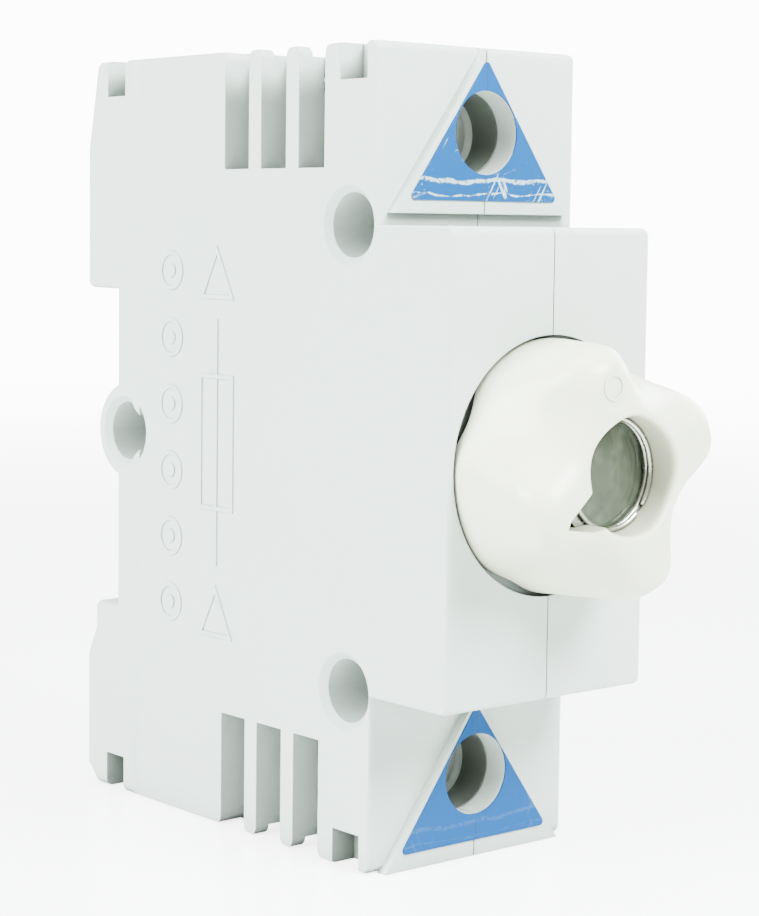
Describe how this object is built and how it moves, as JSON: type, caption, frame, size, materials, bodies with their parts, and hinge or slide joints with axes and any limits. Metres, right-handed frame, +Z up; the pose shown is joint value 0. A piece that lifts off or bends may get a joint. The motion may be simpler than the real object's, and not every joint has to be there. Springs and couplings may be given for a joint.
{
  "type": "screw-cap fuse base with cartridge fuse",
  "caption": "Slim rail-mounted fuse base with finned ends, blue terminal labels and a star-shaped screw cap whose window shows the bottle-shaped cartridge fuse held inside.",
  "frame": {"origin": "middle of the mounting rail, on the plane where the rail's flanges seat, at mid width", "axes": "+Z up along the height, +Y towards the rail, so the screw cap faces -Y, +X across the width to the right as seen from the front"},
  "size_m": [0.027, 0.0723, 0.0812],
  "materials": {
    "housing_grey": "fine moulded texture, light cool grey",
    "cap_ivory": "smooth gloss, warm white",
    "label_blue": "printed film, scratched",
    "gauge_black": "matt",
    "latch_grey": "satin",
    "socket_ceramic": "glazed steatite",
    "fuse_ceramic": "glazed porcelain",
    "quartz_sand": "sand",
    "brass": "bright",
    "copper": "tinned copper",
    "nickel": "nickel plate",
    "steel": "zinc plate",
    "window_glass": "clear"
  },
  "bodies": {
    "housing": {"housing_left": "housing_grey", "housing_right": "housing_grey", "label_upper": "label_blue", "label_lower": "label_blue", "gauge_ring": "gauge_black", "socket_body": "socket_ceramic", "socket_thread_shell": "brass", "foot_contact": "brass", "upper_bar": "copper", "lower_bar": "copper", "latch_spring": "steel"},
    "cartridge": {"fuse_body": "fuse_ceramic", "fuse_head_cap": "nickel", "fuse_foot_cap": "nickel", "fuse_indicator": "gauge_black", "fuse_element": "copper", "fuse_sand": "quartz_sand"},
    "cap_window": {"window_ring": "steel", "window_glass": "window_glass", "grip_spring": "steel"},
    "screw_cap": {"cap_body": "cap_ivory", "cap_thread_shell": "nickel"},
    "screw_upper": {"upper_screw": "steel"},
    "screw_lower": {"lower_screw": "steel"},
    "cage_upper": {"upper_cage": "steel"},
    "cage_lower": {"lower_cage": "steel"},
    "latch": {"rail_latch": "latch_grey"}
  },
  "joints": [
    {"name": "fuse_lift_out", "type": "slide", "parent": "housing", "child": "cartridge", "axis": [0, -1, 0], "range_m": [0, 0.045]},
    {"name": "cap_travel", "type": "slide", "parent": "cartridge", "child": "cap_window", "axis": [0, -1, 0], "range_m": [0, 0.0121]},
    {"name": "cap_turn", "type": "hinge", "parent": "cap_window", "child": "screw_cap", "pos_m": [0, -0.06, 0.002], "axis": [0, -1, 0], "range_deg": [0, 1440]},
    {"name": "screw_upper_turn", "type": "hinge", "parent": "housing", "child": "screw_upper", "pos_m": [0, -0.034, 0.0342], "axis": [0, 1, 0], "range_deg": [0, 2165]},
    {"name": "screw_lower_turn", "type": "hinge", "parent": "housing", "child": "screw_lower", "pos_m": [0, -0.034, -0.0302], "axis": [0, 1, 0], "range_deg": [0, 2165]},
    {"name": "cage_upper_lift", "type": "slide", "parent": "housing", "child": "cage_upper", "axis": [0, -1, 0], "range_m": [0, 0.0048]},
    {"name": "cage_lower_lift", "type": "slide", "parent": "housing", "child": "cage_lower", "axis": [0, -1, 0], "range_m": [0, 0.0048]},
    {"name": "latch_slide", "type": "slide", "parent": "housing", "child": "latch", "axis": [0, 0, -1], "range_m": [0, 0.003], "stiffness_N_per_m": 600, "springref_m": -0.002, "deforming": ["latch_spring"]}
  ],
  "couplings": [
    {"joint": "cap_travel", "follows": "cap_turn", "m_per_rad": 0.00047746},
    {"joint": "screw_upper_turn", "follows": "cage_upper_lift", "rad_per_m": 7854},
    {"joint": "screw_lower_turn", "follows": "cage_lower_lift", "rad_per_m": 7854}
  ]
}
